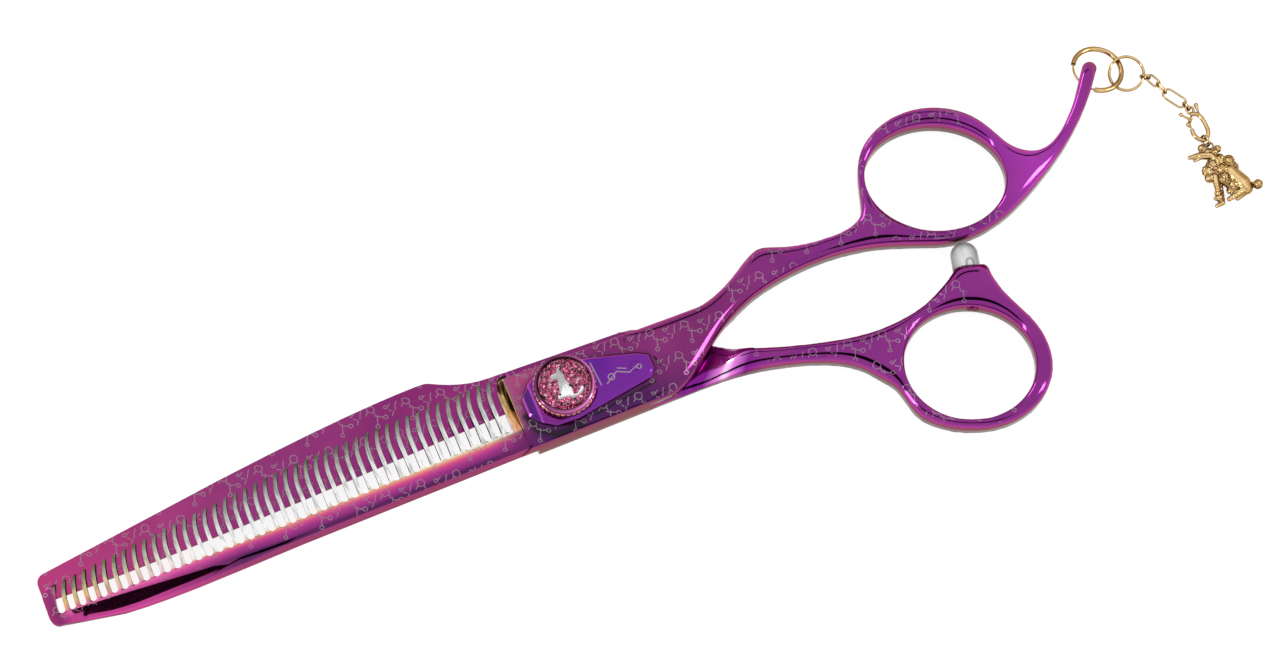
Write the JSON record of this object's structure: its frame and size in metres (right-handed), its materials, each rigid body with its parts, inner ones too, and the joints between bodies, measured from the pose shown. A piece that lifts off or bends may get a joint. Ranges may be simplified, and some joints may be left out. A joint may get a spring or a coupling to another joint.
{
  "type": "thinning shears",
  "caption": "Pet-grooming thinning shears with a comb blade, a plain blade, an adjustable pivot, offset finger loops, a rest, a silicone bumper and a dog charm on a chain.",
  "frame": {"origin": "on the pivot axis, on the ride plane where the two halves meet", "axes": "+Z towards the dial side, -X towards the blade tips, +Y towards the finger ring's side"},
  "size_m": [0.2194, 0.0578, 0.0112],
  "materials": {
    "solid_steel": "mirror-polished violet coating",
    "comb_steel": "mirror-polished violet coating, etched",
    "plate_steel": "mirror-polished indigo coating",
    "dial_steel": "polished violet coating, knurled",
    "pivot_steel": "turned",
    "spring_steel": "satin",
    "bush": "turned",
    "washer_polymer": "satin",
    "clear_silicone": "clear, soft sheen",
    "bright_rim": "polished",
    "glitter": "set with fine glitter",
    "silver": "polished",
    "clear_lens": "clear, polished",
    "gold": "polished, gold-coloured"
  },
  "bodies": {
    "thumb_half": {"solid_blade_half": "solid_steel", "pivot_bush": "bush", "friction_washer": "washer_polymer", "bumper": "clear_silicone"},
    "finger_half": {"comb_blade_half": "comb_steel", "pivot_screw": "pivot_steel", "tension_plate": "plate_steel", "plate_locating_pin": "pivot_steel", "disc_spring": "spring_steel", "thrust_washer": "bush"},
    "dial": {"adjuster_knob": "dial_steel", "knob_bezel": "bright_rim", "glitter_disc": "glitter", "dog_inlay": "silver", "clear_lens": "clear_lens"},
    "hoop": {"hoop_wire": "gold", "hoop_tube": "gold"},
    "split_ring": {"split_ring": "gold"},
    "end_ring": {"chain_end_ring": "gold"},
    "link_flat": {"chain_link_flat": "gold"},
    "link_upright": {"chain_link_upright": "gold"},
    "link_large": {"chain_link_large": "gold"},
    "clasp_ring": {"clasp_ring": "gold"},
    "clasp": {"lobster_clasp": "gold"},
    "clasp_gate": {"clasp_gate": "gold"},
    "charm_ring": {"charm_ring": "gold"},
    "charm": {"poodle_charm": "gold"}
  },
  "joints": [
    {"name": "blade_pivot", "type": "hinge", "parent": "thumb_half", "child": "finger_half", "pos_m": [0, 0, 0], "axis": [0, 0, 1], "range_deg": [0, 65]},
    {"name": "dial_turn", "type": "hinge", "parent": "finger_half", "child": "dial", "pos_m": [0, 0, 0.0055], "axis": [0, 0, 1], "range_deg": [-50, 50]},
    {"name": "hoop_swing", "type": "hinge", "parent": "finger_half", "child": "hoop", "pos_m": [0.1046, 0.0177, 0], "axis": [0.5443, -0.8389, 0], "range_deg": [-60, 60]},
    {"name": "split_ring_slide", "type": "hinge", "parent": "hoop", "child": "split_ring", "pos_m": [0.1081, 0.01997, -0.00104], "axis": [-0.2035, -0.132, -0.9701], "range_deg": [-30, 30]},
    {"name": "end_ring_slide", "type": "hinge", "parent": "split_ring", "child": "end_ring", "pos_m": [0.1126, 0.0175, -0.00147], "axis": [-0.0626, -0.1451, 0.9874], "range_deg": [-30, 30]},
    {"name": "link_flat_swing", "type": "hinge", "parent": "end_ring", "child": "link_flat", "pos_m": [0.11604, 0.01521, -0.0015], "axis": [0, 0, 1], "range_deg": [-25, 25]},
    {"name": "link_upright_swing", "type": "hinge", "parent": "link_flat", "child": "link_upright", "pos_m": [0.11687, 0.01339, -0.0015], "axis": [-0.9099, -0.4149, 0], "range_deg": [-25, 25]},
    {"name": "link_large_swing", "type": "hinge", "parent": "link_upright", "child": "link_large", "pos_m": [0.11747, 0.01159, -0.0015], "axis": [0, 0, -1], "range_deg": [-25, 25]},
    {"name": "clasp_ring_swing", "type": "hinge", "parent": "link_large", "child": "clasp_ring", "pos_m": [0.11954, 0.00829, -0.0015], "axis": [0.8471, 0.5314, 0], "range_deg": [-25, 25]},
    {"name": "clasp_swing", "type": "hinge", "parent": "clasp_ring", "child": "clasp", "pos_m": [0.11989, 0.0072, -0.0015], "axis": [0, 0, 1], "range_deg": [-20, 20]},
    {"name": "gate_open", "type": "hinge", "parent": "clasp", "child": "clasp_gate", "pos_m": [0.11925, 0.0055, -0.0015], "axis": [0, 0, 1], "range_deg": [0, 25]},
    {"name": "charm_ring_swing", "type": "hinge", "parent": "clasp", "child": "charm_ring", "pos_m": [0.11995, 0.00115, -0.0015], "axis": [1, 0, 0], "range_deg": [-18, 14]},
    {"name": "charm_swing", "type": "hinge", "parent": "charm_ring", "child": "charm", "pos_m": [0.1202, -0.00007, -0.0015], "axis": [-0.3028, -0.0618, -0.9511], "range_deg": [-20, 20]}
  ]
}
